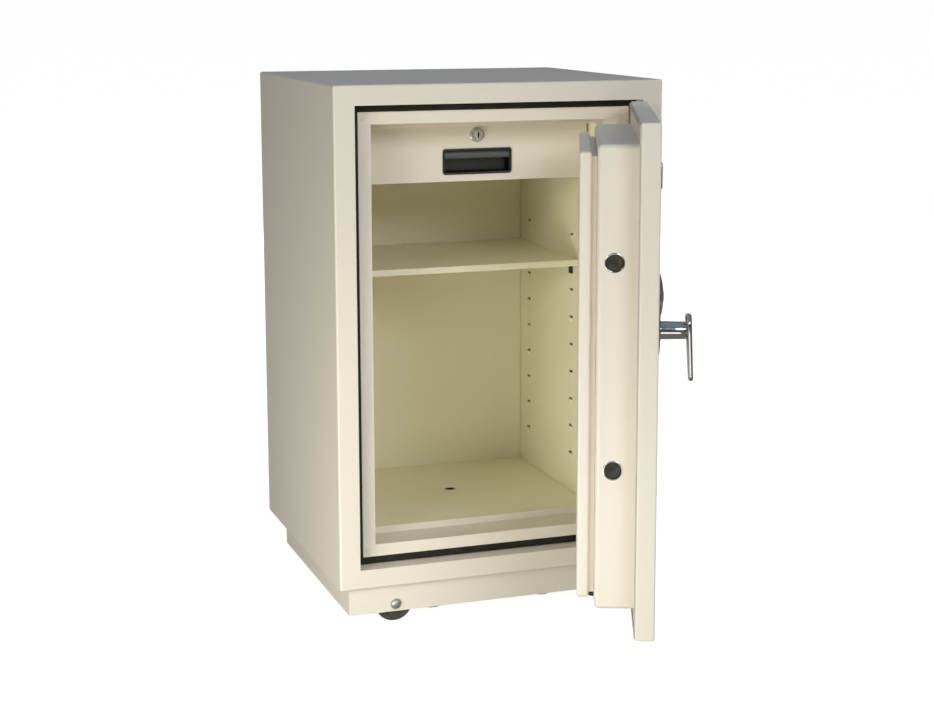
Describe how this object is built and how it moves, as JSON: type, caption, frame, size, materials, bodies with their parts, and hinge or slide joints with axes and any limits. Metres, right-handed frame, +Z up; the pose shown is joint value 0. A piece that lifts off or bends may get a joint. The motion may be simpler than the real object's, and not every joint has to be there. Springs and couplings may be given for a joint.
{
  "type": "fireproof document safe",
  "caption": "Floor-standing fire-resistant document safe with hinged stepped door, turning handle, sliding drawer, shelf and rollers.",
  "frame": {"origin": "centre of the cabinet body in plan, on the underside of the base pan, 20 mm above the floor that the rollers and feet stand on", "axes": "+Z up, front of the cabinet faces -Y, +X to the viewer's right when facing the front"},
  "size_m": [0.57, 0.9949, 0.9],
  "materials": {
    "cream_paint": "semi-gloss cream",
    "cream_inner_paint": "satin cream",
    "black_strip": "matt",
    "black_plastic": "satin black",
    "board": "dry cast filling",
    "seal": "soft satin",
    "rubber": "matt dark",
    "chrome": "polished",
    "steel": "zinc plated",
    "bolt_steel": "dark satin"
  },
  "bodies": {
    "cabinet": {"casing": "cream_paint", "rear_panel": "cream_paint", "hinge_side_strip": "cream_paint", "step_frame": "cream_paint", "plinth": "cream_paint", "base_pan": "cream_paint", "liner": "cream_inner_paint", "liner_floor": "cream_inner_paint", "liner_back": "cream_inner_paint", "shelf": "cream_inner_paint", "thermal_break": "black_strip", "insulation": "board", "step_screw_left_top": "steel", "step_screw_left_bottom": "steel", "step_screw_right_top": "steel", "step_screw_right_bottom": "steel", "axle_rail_front": "steel", "axle_bolt_front_left": "steel", "shelf_clip_front_left": "steel", "axle_bolt_front_right": "steel", "shelf_clip_front_right": "steel", "axle_rail_rear": "steel", "axle_bolt_rear_left": "steel", "shelf_clip_rear_left": "steel", "axle_bolt_rear_right": "steel", "shelf_clip_rear_right": "steel", "levelling_foot_left": "rubber", "drawer_rail_left": "steel", "levelling_foot_right": "rubber", "drawer_rail_right": "steel", "strike_cup_lower": "steel", "hinge_lower_frame_knuckle": "steel", "hinge_lower_pin": "steel", "strike_cup_upper": "steel", "hinge_upper_frame_knuckle": "steel", "hinge_upper_pin": "steel"},
    "door": {"door_skin": "cream_paint", "door_pan": "cream_paint", "door_inner_cover": "cream_paint", "door_insulation": "board", "door_seal": "seal", "hinge_lower_door_knuckle": "steel", "hinge_upper_door_knuckle": "steel", "bolt_bush_lower": "chrome", "bolt_bush_upper": "chrome", "escutcheon": "chrome", "badge": "chrome"},
    "bolt_work": {"bolt_work": "bolt_steel"},
    "handle": {"lever": "chrome", "spindle": "chrome"},
    "key_cylinder": {"key_cylinder": "steel"},
    "drawer": {"drawer_front": "cream_paint", "drawer_tray": "cream_inner_paint", "drawer_pull": "black_plastic", "drawer_lock_ring": "chrome"},
    "drawer_cylinder": {"drawer_cylinder": "chrome"},
    "roller_front_left": {"roller_front_left": "rubber"},
    "roller_front_right": {"roller_front_right": "rubber"},
    "roller_rear_left": {"roller_rear_left": "rubber"},
    "roller_rear_right": {"roller_rear_right": "rubber"}
  },
  "joints": [
    {"name": "door_hinge", "type": "hinge", "parent": "cabinet", "child": "door", "pos_m": [0.262, -0.267, 0.465], "axis": [0, 0, 1], "range_deg": [-67.75, 67.25]},
    {"name": "handle_turn", "type": "hinge", "parent": "door", "child": "handle", "pos_m": [0.09952, -0.64567, 0.532], "axis": [0.9255, -0.3786, 0], "range_deg": [0, 90]},
    {"name": "bolt_throw", "type": "slide", "parent": "door", "child": "bolt_work", "axis": [-0.3786, -0.9255, 0], "range_m": [0, 0.02]},
    {"name": "key_turn", "type": "hinge", "parent": "door", "child": "key_cylinder", "pos_m": [0.09952, -0.64567, 0.583], "axis": [0.9255, -0.3786, 0], "range_deg": [0, 90]},
    {"name": "drawer_slide", "type": "slide", "parent": "cabinet", "child": "drawer", "axis": [0, -1, 0], "range_m": [0, 0.1]},
    {"name": "drawer_key_turn", "type": "hinge", "parent": "drawer", "child": "drawer_cylinder", "pos_m": [0, -0.13, 0.786], "axis": [0, -1, 0], "range_deg": [0, 90]},
    {"name": "roller_front_left_spin", "type": "hinge", "parent": "cabinet", "child": "roller_front_left", "pos_m": [-0.184, -0.22, 0.0125], "axis": [0, 1, 0], "continuous": true},
    {"name": "roller_front_right_spin", "type": "hinge", "parent": "cabinet", "child": "roller_front_right", "pos_m": [0.184, -0.22, 0.0125], "axis": [0, 1, 0], "continuous": true},
    {"name": "roller_rear_left_spin", "type": "hinge", "parent": "cabinet", "child": "roller_rear_left", "pos_m": [-0.184, 0.183, 0.0125], "axis": [0, 1, 0], "continuous": true},
    {"name": "roller_rear_right_spin", "type": "hinge", "parent": "cabinet", "child": "roller_rear_right", "pos_m": [0.184, 0.183, 0.0125], "axis": [0, 1, 0], "continuous": true}
  ],
  "couplings": [
    {"joint": "bolt_throw", "follows": "handle_turn", "m_per_rad": 0.012732}
  ]
}
